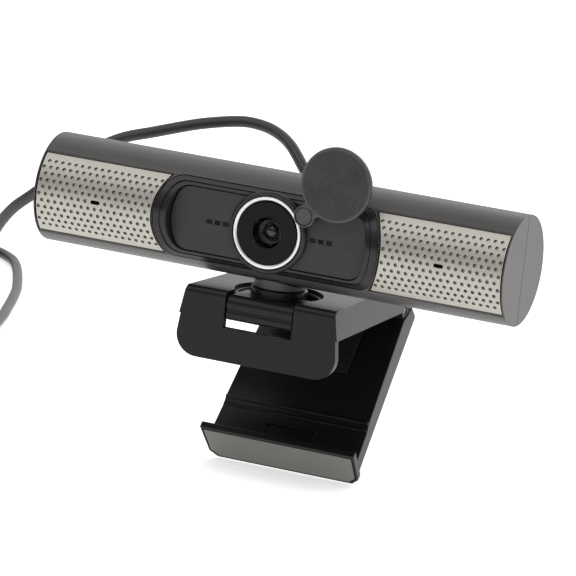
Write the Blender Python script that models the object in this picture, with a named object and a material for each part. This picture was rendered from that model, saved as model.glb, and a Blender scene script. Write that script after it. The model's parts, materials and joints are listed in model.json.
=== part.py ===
"""Bar-shaped webcam with a swing-away lens cover, on a fold-out screen clip.

Lengths are in metres. The camera bar lies along X, its lens looks along -Y and
+Z is up. Pieces are drawn about the middle of the bar and hung from empties
that sit on the joints, and the leg is drawn folded flat against the clip.
"""
from math import asin, ceil, cos, pi, radians, sin, sqrt

import bmesh
import bpy
from mathutils import Matrix, Vector

for old in list(bpy.data.objects):
    bpy.data.objects.remove(old, do_unlink=True)

MM = 0.001
GAP = 0.3 * MM                  # clearance between pieces that touch
WELD = 0.002 * MM               # corners closer than this are one

# Driving dimensions
BAR_RADIUS = 21.0 * MM
BAR_HALF_LENGTH = 95.7 * MM
FRONT_WALL = 3.0 * MM
REAR_WALL = 2.2 * MM
END_WALL = 2.0 * MM
GRILLE_HALF_ANGLE = radians(46.0)
GRILLE_OUTER = 20.7 * MM
GRILLE_INNER = 19.4 * MM
FACE_HALF_HEIGHT = 15.4 * MM    # outline of the face in the middle of the bar
FACE_END_RADIUS = 25.6 * MM
FACE_END_CENTRE = 20.1 * MM
FASCIA_FRONT = -16.0 * MM
LENS_BARREL_RADIUS = 15.6 * MM
LENS_RING_RADIUS = 13.65 * MM
COVER_RADIUS = 14.1 * MM
COVER_ARM = 17.7 * MM           # pivot to the lens axis, and pivot to the disc's centre
PIVOT_ANGLE = radians(31.3)
COVER_OPEN_ANGLE = radians(50.3)
NECK_RADIUS = 9.8 * MM
NECK_Y = 0.5 * MM
PLATE_TOP = -25.0 * MM
PLATE_THICKNESS = 2.4 * MM
LIP_FRONT = -17.2 * MM
LIP_BOTTOM = -51.7 * MM
PLATE_REAR = 68.0 * MM
SKIRT_BOTTOM = -36.0 * MM
TILT_AXIS = Vector((0.0, -13.0 * MM, -30.8 * MM))
LEG_AXIS = Vector((0.0, 64.5 * MM, -36.5 * MM))
LEG_OPEN = radians(48.9)        # angle of the leg below the plate
LEG_LENGTH = 72.6 * MM
LEG_THICK_TOP = 10.6 * MM
LEG_THICK_END = 7.6 * MM
FOOT_DEPTH = 11.8 * MM          # the foot's lower edge, outside the leg's axis plane
CORD_RADIUS = 2.25 * MM
COIL_RADIUS = 25.0 * MM
COIL_TURN_PITCH = 4.5 * MM
COIL_CENTRE = Vector((-306.0 * MM, 303.0 * MM, 0.0))

# The origin lies on the floor, under the middle of the bar and clip
BAR_HEIGHT = -(LEG_AXIS.z - LEG_LENGTH * sin(LEG_OPEN) - FOOT_DEPTH * cos(LEG_OPEN))
REAR_EDGE = LEG_AXIS.y + 4.3 * MM * cos(LEG_OPEN) + LEG_THICK_TOP * sin(LEG_OPEN)
BAR_Y = (BAR_RADIUS - REAR_EDGE) / 2
FLOOR = -BAR_HEIGHT

# ---- materials -------------------------------------------------------------

def make_material(name, colour, roughness, metallic=0.0, alpha=1.0):
    material = bpy.data.materials.new(name)
    material.use_nodes = True
    shader = material.node_tree.nodes["Principled BSDF"]
    shader.inputs["Base Color"].default_value = (*colour, 1.0)
    shader.inputs["Roughness"].default_value = roughness
    shader.inputs["Metallic"].default_value = metallic
    shader.inputs["Alpha"].default_value = alpha
    material.diffuse_color = (*colour, alpha)
    return material


FINISHES = {
    "satin_black": ((0.055, 0.052, 0.050), 0.42, 0.0),
    "gloss_black": ((0.020, 0.020, 0.021), 0.22, 0.0),
    "fascia_black": ((0.028, 0.028, 0.030), 0.55, 0.0),
    "clip_black": ((0.022, 0.022, 0.022), 0.48, 0.0),
    "grille_metal": ((0.46, 0.44, 0.40), 0.36, 1.0),
    "ring_metal": ((0.72, 0.72, 0.70), 0.25, 1.0),
    "foot_grey": ((0.17, 0.165, 0.155), 0.45, 0.3),
    "steel": ((0.55, 0.55, 0.56), 0.30, 1.0),
    "rubber_black": ((0.018, 0.018, 0.018), 0.80, 0.0),
    "cord_black": ((0.040, 0.036, 0.036), 0.50, 0.0),
    "board_green": ((0.02, 0.12, 0.05), 0.50, 0.0),
    "chip_black": ((0.02, 0.02, 0.022), 0.40, 0.0),
    "cone_grey": ((0.07, 0.07, 0.075), 0.70, 0.0),
    "indicator_smoke": ((0.05, 0.05, 0.052), 0.20, 0.0),
    "lens_glass": ((0.010, 0.012, 0.018), 0.05, 0.0),
    "plug_insulator": ((0.65, 0.66, 0.68), 0.50, 0.0),
}
finishes = {name: make_material(name, *values) for name, values in FINISHES.items()}
finishes["window_glass"] = make_material("window_glass", (0.008, 0.008, 0.010), 0.04, 0.0, 0.35)


# ---- shape tools -----------------------------------------------------------

def finish_mesh(name, bm, finish):
    """Turns a bmesh into a named object with outward faces."""
    bmesh.ops.remove_doubles(bm, verts=bm.verts, dist=1e-7)
    bmesh.ops.recalc_face_normals(bm, faces=bm.faces)
    mesh = bpy.data.meshes.new(name)
    bm.to_mesh(mesh)
    bm.free()
    piece = bpy.data.objects.new(name, mesh)
    bpy.context.scene.collection.objects.link(piece)
    if finish:
        mesh.materials.append(finishes[finish])
    return piece


def prism(name, outline, low, high, axis="X", finish=None, width_at=None):
    """An outline of (a, b) pairs carried along one axis: (y, z), (x, z) or (x, y).

    width_at gives a half-width for each (a, b) pair, in place of low and high.
    """
    bm = bmesh.new()
    ends = []
    for side, depth in ((-1, low), (1, high)):
        ring = []
        for a, b in outline:
            t = side * width_at(a, b) if width_at else depth
            place = {"X": (t, a, b), "Y": (a, t, b), "Z": (a, b, t)}[axis]
            ring.append(bm.verts.new(place))
        ends.append(ring)
        bm.faces.new(ring)
    count = len(outline)
    for i in range(count):
        j = (i + 1) % count
        bm.faces.new((ends[0][i], ends[0][j], ends[1][j], ends[1][i]))
    return finish_mesh(name, bm, finish)


def box(name, x, y, z, finish=None):
    """A block between pairs of limits."""
    return prism(name, [(x[0], y[0]), (x[1], y[0]), (x[1], y[1]), (x[0], y[1])],
                 z[0], z[1], "Z", finish)


def lathe(name, profile, centre, axis, steps=32, finish=None):
    """A profile of (radius, height) pairs turned about an axis through the centre.

    A profile that starts and ends at radius 0 is a solid of revolution; any other
    profile is a closed loop, which gives a ring.
    """
    bm = bmesh.new()
    turn = Vector(axis).to_track_quat("Z", "Y").to_matrix().to_4x4()
    place = Matrix.Translation(centre) @ turn
    verts = [bm.verts.new(place @ Vector((r, 0.0, h))) for r, h in profile]
    pairs = list(zip(verts, verts[1:]))
    if profile[0][0] > 0:
        pairs.append((verts[-1], verts[0]))
    edges = [bm.edges.new(pair) for pair in pairs]
    bmesh.ops.spin(bm, geom=verts + edges, cent=centre, axis=Vector(axis),
                   angle=2 * pi, steps=steps, use_merge=True)
    return finish_mesh(name, bm, finish)


def turned(name, points, finish, centre=(0.0, 0.0, 0.0), steps=32, axis=(0, 1, 0)):
    """A lathe piece whose profile is given in millimetres."""
    return lathe(name, [(r * MM, h * MM) for r, h in points], centre, axis, steps, finish)


def combine(piece, tool, operation="DIFFERENCE"):
    """Cuts, joins or intersects a piece with a tool, and removes the tool."""
    tool.hide_render = True
    tool.display_type = "WIRE"
    modifier = piece.modifiers.new("shape", "BOOLEAN")
    modifier.operation = operation
    modifier.solver = "EXACT"
    modifier.object = tool
    graph = bpy.context.evaluated_depsgraph_get()
    shaped = bpy.data.meshes.new_from_object(piece.evaluated_get(graph))
    bm = bmesh.new()
    bm.from_mesh(shaped)
    bmesh.ops.remove_doubles(bm, verts=bm.verts, dist=WELD)
    bmesh.ops.dissolve_degenerate(bm, edges=bm.edges, dist=WELD)
    bm.to_mesh(shaped)
    bm.free()
    piece.modifiers.clear()
    piece.data = shaped
    bpy.data.objects.remove(tool, do_unlink=True)
    return piece


def cut(piece, *tools):
    for tool in tools:
        combine(piece, tool, "DIFFERENCE")
    return piece


def join(piece, *others):
    for other in others:
        combine(piece, other, "UNION")
    return piece


def circle(radius, centre=(0.0, 0.0), steps=32):
    turn = [2 * pi * i / steps for i in range(steps)]
    return [(centre[0] + radius * cos(t), centre[1] + radius * sin(t)) for t in turn]


def arc(radius, start, end, centre=(0.0, 0.0), steps=12):
    """Points along an arc, both ends included."""
    turn = [start + (end - start) * i / steps for i in range(steps + 1)]
    return [(centre[0] + radius * cos(t), centre[1] + radius * sin(t)) for t in turn]


def rod(name, radius, centre, low, high, axis, steps=24, finish=None):
    """A round bar between two limits along an axis, about a centre in the other two."""
    return prism(name, circle(radius, centre, steps), low, high, axis, finish)


def sector(name, inner, outer, half_angle, low, high, finish=None, steps=28):
    """A slice of tube along X, centred on the direction of the lens."""
    outside = arc(outer, pi - half_angle, pi + half_angle, steps=steps)
    inside = arc(inner, pi + half_angle, pi - half_angle, steps=steps)
    return prism(name, outside + inside, low, high, "X", finish)


def half_disc(radius, face, side, steps=32):
    """Half of a disc in (y, z), flat at y = side * face and round on that side."""
    tilt = asin(face / radius)
    if side < 0:
        return arc(radius, pi / 2 + tilt, 3 * pi / 2 - tilt, steps=steps)
    return arc(radius, -pi / 2 + tilt, pi / 2 - tilt, steps=steps)


def face_outline(end_radius, half_height, corner, steps=6):
    """The middle face's outline in (x, z): bowed ends, round corners, flat top and base."""
    lift = half_height - corner
    corner_x = FACE_END_CENTRE + sqrt((end_radius - corner) ** 2 - lift ** 2)
    bow = asin(lift / (end_radius - corner))
    right = arc(end_radius, -bow, bow, (FACE_END_CENTRE, 0.0), 2 * steps)
    top = arc(corner, bow, pi / 2, (corner_x, lift), steps)
    base = arc(corner, -pi / 2, -bow, (corner_x, -lift), steps)
    side = base[:-1] + right + top[1:]
    return side + [(-x, z) for x, z in reversed(side)]


def pill(length, height, centre, steps=6):
    """A slot with round ends, lying along the first direction."""
    r = height / 2
    reach = length / 2 - r
    right = arc(r, -pi / 2, pi / 2, (centre[0] + reach, centre[1]), steps)
    left = arc(r, pi / 2, 3 * pi / 2, (centre[0] - reach, centre[1]), steps)
    return right + left


# ---- joints: one empty on each axis ----------------------------------------

def make_axis(name, place, parent=None, turn=0.0):
    """An empty on a joint's axis, turned about X; place is measured from the bar's middle."""
    empty = bpy.data.objects.new(name, None)
    bpy.context.scene.collection.objects.link(empty)
    empty.rotation_euler = (turn, 0.0, 0.0)
    empty.parent = parent
    offset = parent["place"] if parent else Vector((0.0, -BAR_Y, -BAR_HEIGHT))
    empty.location = Vector(place) - Vector(offset)
    empty["place"] = Vector(place)
    return empty


def hang(piece, empty, drawn_about=None):
    """Parents a piece, drawn about the bar's middle unless told, to an empty."""
    start = Vector(empty["place"]) if drawn_about is None else Vector(drawn_about)
    piece.data.transform(Matrix.Translation(-start))
    piece.parent = empty
    if piece.type == "MESH":
        piece.data.shade_smooth()
        piece.data.set_sharp_from_angle(angle=radians(35))
    return piece


PIVOT = Vector((COVER_ARM * cos(PIVOT_ANGLE), FASCIA_FRONT, COVER_ARM * sin(PIVOT_ANGLE)))
bar_axis = make_axis("bar_axis", (0.0, 0.0, 0.0))
cover_axis = make_axis("cover_axis", PIVOT, bar_axis)
pan_axis = make_axis("pan_axis", (0.0, NECK_Y, PLATE_TOP), bar_axis)
tilt_axis = make_axis("tilt_axis", TILT_AXIS, pan_axis)
leg_axis = make_axis("leg_axis", LEG_AXIS, tilt_axis, LEG_OPEN)


# ---- camera bar: housing ---------------------------------------------------

SHELL_SCREW_X = (-89.7 * MM, -49.0 * MM, 49.0 * MM, 89.7 * MM)
CARRIER_RADIUS = GRILLE_INNER - GAP
GLAND_NECK = 3.7 * MM
MIC_X = 70.0 * MM


def half_shell(name, side, wall):
    seam = GAP / 2
    inner = BAR_RADIUS - wall
    shell = prism(name, half_disc(BAR_RADIUS, seam, side), -BAR_HALF_LENGTH,
                  BAR_HALF_LENGTH, "X", "satin_black")
    reach = BAR_HALF_LENGTH - END_WALL
    hollow = [(-side * y, z) for y, z in arc(inner, pi / 2, 3 * pi / 2, steps=32)]
    hollow += [(-side * 2 * MM, -inner), (-side * 2 * MM, inner)]
    cut(shell, prism("hollow", hollow, -reach, reach))
    cut(shell, rod("neck_hole", 6.0 * MM, (0.0, NECK_Y), -30 * MM, -10 * MM, "Z"))
    return shell


def grille_end(reach):
    """Cutter that gives a panel or its recess the hollow edge beside the face."""
    return rod("grille_end", FACE_END_RADIUS + reach, (FACE_END_CENTRE, 0.0),
               -40 * MM, 0.0, "Y", 72)


def mirrored(piece):
    """Turns a cutter drawn for the right-hand side over to the left."""
    piece.data.transform(Matrix.Scale(-1, 4, (1, 0, 0)))
    piece.data.flip_normals()
    return piece


def front_shell():
    shell = half_shell("front_shell", -1, FRONT_WALL)
    cut(shell, prism("face", face_outline(FACE_END_RADIUS + GAP, FACE_HALF_HEIGHT + GAP,
                                          7.3 * MM), -40 * MM, -4 * MM, "Y"))
    for flip in (False, True):
        recess = cut(sector("recess", CARRIER_RADIUS, 25 * MM, GRILLE_HALF_ANGLE + radians(1.0), 20 * MM,
                            BAR_HALF_LENGTH - 0.5 * MM, steps=27), grille_end(0.45 * MM))
        tools = [recess, rod("mic_hole", 2.3 * MM, (MIC_X, 0.0), -25 * MM, -15 * MM, "Y", 16)]
        for low, high in ((52 * MM, 66 * MM), (74 * MM, 88 * MM)):
            tools.append(box("window", (low, high), (-25 * MM, -10 * MM), (-9 * MM, 9 * MM)))
        cut(shell, *[mirrored(tool) if flip else tool for tool in tools])
    for x in SHELL_SCREW_X:
        join(shell, rod("boss", 2.2 * MM, (x, 0.0), -18.4 * MM, 8 * MM, "Y", 18))
        cut(shell, rod("pilot", 1.3 * MM, (x, 0.0), -6 * MM, 12 * MM, "Y", 12))
    return shell


def rear_shell():
    shell = half_shell("rear_shell", 1, REAR_WALL)
    for x in SHELL_SCREW_X:
        join(shell, rod("post", 3.7 * MM, (x, 0.0), 8.4 * MM, 18.6 * MM, "Y", 20))
        cut(shell, rod("counterbore", 2.4 * MM, (x, 0.0), 10.4 * MM, 25 * MM, "Y", 16),
            rod("clearance", 1.3 * MM, (x, 0.0), 5 * MM, 15 * MM, "Y", 12))
    cut(shell, rod("gland_hole", GLAND_NECK + GAP, (0.0, 0.0), 10 * MM, 30 * MM, "Y"))
    return shell


def shell_screw(name, x):
    head = [(0.0, 12.4 * MM), (1.2 * MM, 12.4 * MM), (2.1 * MM, 11.8 * MM), (2.1 * MM, 10.7 * MM)]
    shank = [(1.0 * MM, 10.7 * MM), (1.0 * MM, -4.6 * MM), (0.0, -5.4 * MM)]
    return lathe(name, head + shank, (x, 0.0, 0.0), (0, 1, 0), 16, "steel")


hang(front_shell(), bar_axis)
hang(rear_shell(), bar_axis)
for number, x in enumerate(SHELL_SCREW_X, 1):
    hang(shell_screw(f"shell_screw_{number}", x), bar_axis)


# ---- camera bar: grilles, microphones and speakers -------------------------

SPEAKER_FRONT = -12.3 * MM


def side_pieces(side, sign):
    """The grille, microphone and speaker of one end of the bar."""
    panel = sector(f"grille_{side}", GRILLE_INNER, GRILLE_OUTER, GRILLE_HALF_ANGLE, 20 * MM,
                   BAR_HALF_LENGTH - 0.8 * MM, "grille_metal")
    cut(panel, grille_end(0.75 * MM),
        prism("slot", pill(3.9 * MM, 1.5 * MM, (MIC_X, 0.0)), -25 * MM, -15 * MM, "Y"))
    if sign < 0:
        mirrored(panel)
    hang(panel, bar_axis)

    x = sign * MIC_X
    capsule = [(0.0, -18.9 * MM), (1.2 * MM, -18.9 * MM), (2.0 * MM, -18.4 * MM),
               (2.0 * MM, -16.6 * MM), (0.0, -16.6 * MM)]
    hang(lathe(f"microphone_{side}", capsule, (x, 0.0, 0.0), (0, 1, 0), 16, "steel"), bar_axis)

    frame = prism(f"speaker_frame_{side}", pill(34 * MM, 24 * MM, (x, 0.0), 10),
                  SPEAKER_FRONT, -5.5 * MM, "Y", "chip_black")
    join(frame, rod("magnet", 8.5 * MM, (x, 0.0), -6 * MM, -1.8 * MM, "Y"))
    cut(frame, prism("basket", pill(29 * MM, 19 * MM, (x, 0.0), 10), -20 * MM, -8 * MM, "Y"))
    hang(frame, bar_axis)

    cone = prism(f"speaker_cone_{side}", pill(28.2 * MM, 18.2 * MM, (x, 0.0), 10),
                 -11.6 * MM, -8.4 * MM, "Y", "cone_grey")
    dish = lathe("dish", [(0.0, -9.6 * MM), (2.5 * MM, -9.8 * MM), (8.6 * MM, -12.2 * MM),
                          (0.0, -12.2 * MM)], (x, 0.0, 0.0), (0, 1, 0), 24)
    hang(cut(cone, dish), bar_axis)


for side, sign in (("left", -1), ("right", 1)):
    side_pieces(side, sign)


# ---- camera bar: face, lens and boards -------------------------------------

INDICATOR_X = 21.1 * MM


def bezel_rim():
    rim = prism("bezel_rim", face_outline(FACE_END_RADIUS, FACE_HALF_HEIGHT, 7.0 * MM),
                -24 * MM, -12.8 * MM, "Y", "gloss_black")
    combine(rim, rod("round", 20.9 * MM, (0.0, 0.0), -60 * MM, 60 * MM, "X", 96), "INTERSECT")
    cut(rim, prism("mouth", face_outline(20.4 * MM, 12.4 * MM, 6.0 * MM), -30 * MM, 0.0, "Y"),
        rod("nest", LENS_BARREL_RADIUS + GAP, (0.0, 0.0), -30 * MM, -15.7 * MM, "Y", 48))
    return rim


def fascia_panel():
    panel = prism("fascia_panel", face_outline(20.1 * MM, 12.1 * MM, 5.7 * MM), FASCIA_FRONT,
                  FASCIA_FRONT + 1.5 * MM, "Y", "fascia_black")
    cut(panel, rod("lens_hole", 11.2 * MM, (0.0, 0.0), -20 * MM, -10 * MM, "Y", 48),
        rod("pivot_hole", 1.5 * MM, (PIVOT.x, PIVOT.z), -20 * MM, -10 * MM, "Y", 16))
    for sign in (-1, 1):
        cut(panel, prism("slot", pill(10.4 * MM, 1.7 * MM, (sign * INDICATOR_X, 0.0)),
                         -20 * MM, -10 * MM, "Y"))
    return panel


def indicator(side, sign):
    return prism(f"indicator_{side}", pill(9.8 * MM, 1.1 * MM, (sign * INDICATOR_X, 0.0)),
                 FASCIA_FRONT + 0.2 * MM, FASCIA_FRONT + 1.4 * MM, "Y", "indicator_smoke")


def lens_barrel():
    """Collar in front of the fascia, seat for the ring and window, spigot behind."""
    profile = [(15.0, -18.1), (14.0, -18.1), (13.95, -18.0), (13.95, -17.0), (9.6, -17.0),
               (9.6, -12.6), (10.9, -12.6), (10.9, -16.3), (15.6, -16.3), (15.6, -17.5)]
    profile = [(r * MM, h * MM) for r, h in profile]
    return lathe("lens_barrel", profile, (0.0, 0.0, 0.0), (0, 1, 0), 48, "gloss_black")


def lens_ring():
    r = LENS_RING_RADIUS
    profile = [(12.3 * MM, -17.9 * MM), (12.6 * MM, -18.3 * MM), (r - 0.3 * MM, -18.3 * MM),
               (r, -17.9 * MM), (r, -17.3 * MM), (12.3 * MM, -17.3 * MM)]
    return lathe("lens_ring", profile, (0.0, 0.0, 0.0), (0, 1, 0), 48, "ring_metal")


hang(bezel_rim(), bar_axis)
hang(fascia_panel(), bar_axis)
for side, sign in (("left", -1), ("right", 1)):
    hang(indicator(side, sign), bar_axis)
hang(lens_barrel(), bar_axis)
hang(lens_ring(), bar_axis)
hang(turned("lens_window", [(0.0, -17.8), (11.7, -17.8), (12.0, -17.6), (12.0, -17.15),
                            (0.0, -17.15)], "window_glass", steps=48), bar_axis)
hang(turned("lens_module", [(0.0, -13.4), (2.9, -13.4), (2.9, -14.6), (4.6, -14.9), (5.6, -14.3),
                            (5.6, -9.5), (8.0, -9.5), (8.0, -2.6), (5.6, -2.6), (5.6, -4.4),
                            (0.0, -4.4)], "gloss_black"), bar_axis)
hang(turned("lens_element", [(0.0, -14.7), (1.3, -14.5), (2.2, -14.1), (2.6, -13.7),
                             (0.0, -13.7)], "lens_glass", steps=24), bar_axis)
hang(box("image_sensor", (-3.4 * MM, 3.4 * MM), (-3.0 * MM, -1.9 * MM),
         (-3.4 * MM, 3.4 * MM), "chip_black"), bar_axis)
hang(box("sensor_board", (-11 * MM, 11 * MM), (-1.6 * MM, -0.4 * MM),
         (-11 * MM, 11 * MM), "board_green"), bar_axis)
hang(box("main_board", (-42 * MM, 42 * MM), (3.0 * MM, 4.6 * MM),
         (-12 * MM, 12 * MM), "board_green"), bar_axis)
hang(box("video_chip", (-20 * MM, -10 * MM), (1.5 * MM, 2.7 * MM),
         (-5 * MM, 5 * MM), "chip_black"), bar_axis)
hang(box("cord_socket", (12 * MM, 22 * MM), (4.9 * MM, 9.5 * MM),
         (-3 * MM, 3 * MM), "plug_insulator"), bar_axis)


# ---- lens cover and its pivot ----------------------------------------------

COVER_BACK = -18.6 * MM
COVER_FRONT = -20.8 * MM
HUB_RADIUS = 4.1 * MM
DISC = Vector((PIVOT.x + COVER_ARM * cos(COVER_OPEN_ANGLE), 0.0,
               PIVOT.z + COVER_ARM * sin(COVER_OPEN_ANGLE)))


def lens_cover():
    """The disc, its hub and the web between them, with a seat for the rivet's head."""
    cover = rod("lens_cover", COVER_RADIUS, (DISC.x, DISC.z), COVER_FRONT, COVER_BACK,
                "Y", 64, "satin_black")
    hub = rod("hub", HUB_RADIUS, (PIVOT.x, PIVOT.z), COVER_FRONT, COVER_BACK, "Y", 32)
    along = Vector((cos(COVER_OPEN_ANGLE), sin(COVER_OPEN_ANGLE)))
    across = Vector((-along.y, along.x))
    near = Vector((PIVOT.x, PIVOT.z))
    far = near + along * 6.0 * MM
    corners = [near - across * 3.6 * MM, far - across * 6.5 * MM,
               far + across * 6.5 * MM, near + across * 3.6 * MM]
    web = prism("web", [tuple(c) for c in corners], COVER_FRONT, COVER_BACK, "Y")
    join(cover, hub, web)
    cut(cover, rod("seat", 3.4 * MM, (PIVOT.x, PIVOT.z), -25 * MM, -20.2 * MM, "Y"),
        rod("bore", 1.5 * MM, (PIVOT.x, PIVOT.z), -25 * MM, -15 * MM, "Y", 16))
    return cover


hang(lens_cover(), cover_axis)
hang(turned("cover_rivet", [(0.0, -21.0), (2.4, -21.0), (3.1, -20.7), (3.1, -20.5), (1.2, -20.5),
                            (1.2, -14.2), (2.2, -14.2), (2.2, -13.5), (0.0, -13.5)],
            "satin_black", (PIVOT.x, 0.0, PIVOT.z), 24), bar_axis)


# ---- neck and swivel -------------------------------------------------------

def neck_column():
    """Saddle under the bar, with a spigot and an inner flange held by both shells."""
    column = rod("neck_column", NECK_RADIUS, (0.0, NECK_Y), -23.0 * MM, -14.0 * MM,
                 "Z", 40, "satin_black")
    cut(column, rod("bar", BAR_RADIUS + GAP, (0.0, 0.0), -20 * MM, 20 * MM, "X", 96))
    join(column, rod("spigot", 5.6 * MM, (0.0, NECK_Y), -22.0 * MM, -13.4 * MM, "Z"),
         rod("flange", 8.0 * MM, (0.0, NECK_Y), -15.4 * MM, -13.4 * MM, "Z"))
    cut(column, rod("pilot", 1.8 * MM, (0.0, NECK_Y), -30 * MM, -15.0 * MM, "Z", 16))
    return column


def swivel_arm():
    """Turntable under the neck, arm to the front and the barrel of the tilt hinge."""
    arm = rod("swivel_arm", 10.75 * MM, (0.0, NECK_Y), -29.2 * MM, -23.3 * MM,
              "Z", 40, "clip_black")
    bridge = box("bridge", (-13.2 * MM, 13.2 * MM), (-13.6 * MM, NECK_Y),
                 (-29.2 * MM, -26.3 * MM))
    upper = rod("upper", 3.4 * MM, (-13.7 * MM, -29.5 * MM), -13.5 * MM, 13.5 * MM, "X")
    lower = rod("lower", 2.7 * MM, (-14.3 * MM, -33.2 * MM), -13.5 * MM, 13.5 * MM, "X", 20)
    core = prism("core", [(-15.4 * MM, -33.2 * MM), (-11.6 * MM, -33.2 * MM),
                          (-11.2 * MM, -29.2 * MM), (-16.0 * MM, -30.6 * MM)],
                 -13.5 * MM, 13.5 * MM, "X")
    join(arm, bridge, upper, lower, core)
    cut(arm, rod("counterbore", 4.1 * MM, (0.0, NECK_Y), -40 * MM, -26.6 * MM, "Z"),
        rod("bore", 1.9 * MM, (0.0, NECK_Y), -40 * MM, -20 * MM, "Z", 16),
        rod("pin_bore", 1.3 * MM, (TILT_AXIS.y, TILT_AXIS.z), -30 * MM, 30 * MM, "X", 16))
    return arm


NECK = (0.0, NECK_Y, 0.0)
hang(neck_column(), bar_axis)
hang(turned("swivel_screw", [(0.0, -28.9), (3.2, -28.9), (3.2, -27.8), (1.5, -27.8),
                             (1.5, -16.2), (0.0, -15.4)], "steel", NECK, 20, (0, 0, 1)), bar_axis)
hang(turned("swivel_washer", [(1.8, -27.5), (3.8, -27.5), (3.8, -26.9), (1.8, -26.9)],
            "steel", NECK, 24, (0, 0, 1)), bar_axis)
hang(swivel_arm(), pan_axis)


# ---- screen clip -----------------------------------------------------------

SKIRT_WALL = 2.2 * MM
NOTCH_HALF_WIDTH = 14.0 * MM
LUG_SPAN = (14.2 * MM, 21.2 * MM)
CLIP_FRONT_HALF = 30.5 * MM     # half-widths of the plate at its front and rear edges
CLIP_REAR_HALF = 26.6 * MM
SKIRT_FLARE = 1.9 * MM          # how far each skirt's lower edge stands out


def plate_half(y, inset=0.0):
    """Half-width of the plate's top at a depth y."""
    run = (y - LIP_FRONT) / (PLATE_REAR - LIP_FRONT)
    return CLIP_FRONT_HALF + run * (CLIP_REAR_HALF - CLIP_FRONT_HALF) - inset


def wedge(name, front, rear, finish=None):
    """A solid lofted between two four-sided sections in (x, z), at depths y."""
    bm = bmesh.new()
    rings = [[bm.verts.new((x, y, z)) for x, z in section] for y, section in (front, rear)]
    for ring in rings:
        bm.faces.new(ring)
    for i in range(4):
        j = (i + 1) % 4
        bm.faces.new((rings[0][i], rings[0][j], rings[1][j], rings[1][i]))
    return finish_mesh(name, bm, finish)


def clip_section(y, inset, top, bottom):
    """Cross-section of the plate and its skirts, drawn in by inset on each side."""
    half = plate_half(y, inset)
    low = half + SKIRT_FLARE * (PLATE_TOP - bottom) / (PLATE_TOP - SKIRT_BOTTOM)
    high = half + SKIRT_FLARE * (PLATE_TOP - top) / (PLATE_TOP - SKIRT_BOTTOM)
    return y, [(-high, top), (high, top), (low, bottom), (-low, bottom)]


def lip_outline():
    """The front lip in (x, z): flared sides and large lower corners."""
    corner = 8.5 * MM
    half = 32.6 * MM
    lower = arc(corner, -pi / 2, 0.0, (half - corner, LIP_BOTTOM + corner), 8)
    right = lower + [(CLIP_FRONT_HALF, PLATE_TOP)]
    return right + [(-x, z) for x, z in reversed(right)]


def clip_body():
    skirt_rear = 60.0 * MM
    clip = wedge("clip_body", clip_section(LIP_FRONT, 0.0, PLATE_TOP, SKIRT_BOTTOM),
                 clip_section(skirt_rear, 0.0, PLATE_TOP, SKIRT_BOTTOM), "clip_black")
    under = PLATE_TOP - PLATE_THICKNESS
    cut(clip, wedge("under", clip_section(LIP_FRONT - 5 * MM, SKIRT_WALL, under, -60 * MM),
                    clip_section(80 * MM, SKIRT_WALL, under, -60 * MM)))
    join(clip, wedge("tail", clip_section(50 * MM, 0.0, PLATE_TOP, under),
                     clip_section(PLATE_REAR, 0.0, PLATE_TOP, under)))
    join(clip, prism("lip", lip_outline(), LIP_FRONT, LIP_FRONT + 3 * MM, "Y"))
    edge = 2.4 * MM
    middle = (LIP_FRONT + edge, PLATE_TOP - edge)
    round_over = [(LIP_FRONT - 1 * MM, PLATE_TOP + 1 * MM), (LIP_FRONT - 1 * MM, middle[1])]
    round_over += arc(edge, pi, pi / 2, middle, 8) + [(middle[0], PLATE_TOP + 1 * MM)]
    cut(clip, prism("round_over", round_over, -40 * MM, 40 * MM))
    join(clip, rod("dish", 19.0 * MM, (0.0, NECK_Y), -31.6 * MM, -25.5 * MM, "Z", 48))
    cut(clip, rod("dish_hollow", 17.0 * MM, (0.0, NECK_Y), -29.5 * MM, -20 * MM, "Z", 48))
    for sign in (-1, 1):
        x = (sign * 13 * MM, sign * 19 * MM)
        join(clip, box("ear", (min(x), max(x)), (LIP_FRONT + 1 * MM, -9.0 * MM),
                       (-35.5 * MM, -26 * MM)))
    notch = box("notch", (-NOTCH_HALF_WIDTH, NOTCH_HALF_WIDTH), (-30 * MM, -8.0 * MM),
                (-38.8 * MM, 0.0))
    cut(clip, notch,
        rod("pin_bore", 1.3 * MM, (TILT_AXIS.y, TILT_AXIS.z), -22 * MM, 22 * MM, "X", 16))
    for sign in (-1, 1):
        lug = circle(3.2 * MM, (LEG_AXIS.y, LEG_AXIS.z), 20)
        web = [(61.3 * MM, -36.5 * MM), (67.7 * MM, -36.5 * MM), (67.7 * MM, -26 * MM),
               (58.0 * MM, -26 * MM)]
        low, high = sorted((sign * LUG_SPAN[0], sign * LUG_SPAN[1]))
        join(clip, prism("web", web, low, high), prism("lug", lug, low, high))
    cut(clip, rod("leg_bore", 1.3 * MM, (LEG_AXIS.y, LEG_AXIS.z), -40 * MM, 40 * MM, "X", 16))
    return clip


def seat_pad():
    """Thin pad under the dish, which rests on the screen's top edge."""
    return box("seat_pad", (-15 * MM, 15 * MM), (-6 * MM, 11 * MM),
               (-33.1 * MM, -31.9 * MM), "rubber_black")


def lip_pad():
    """Pad on the lip's inner face."""
    return box("lip_pad", (-21 * MM, 21 * MM), (LIP_FRONT + 3.3 * MM, LIP_FRONT + 4.5 * MM),
               (-49.5 * MM, -40.2 * MM), "rubber_black")


hang(clip_body(), tilt_axis)
hang(seat_pad(), tilt_axis)
hang(lip_pad(), tilt_axis)
hang(rod("tilt_pin", 1.0 * MM, (TILT_AXIS.y, TILT_AXIS.z), -18.4 * MM, 18.4 * MM,
         "X", 16, "steel"), tilt_axis)


# ---- leg: drawn folded flat, its length along -Y, its thickness along -Z ----

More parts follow.
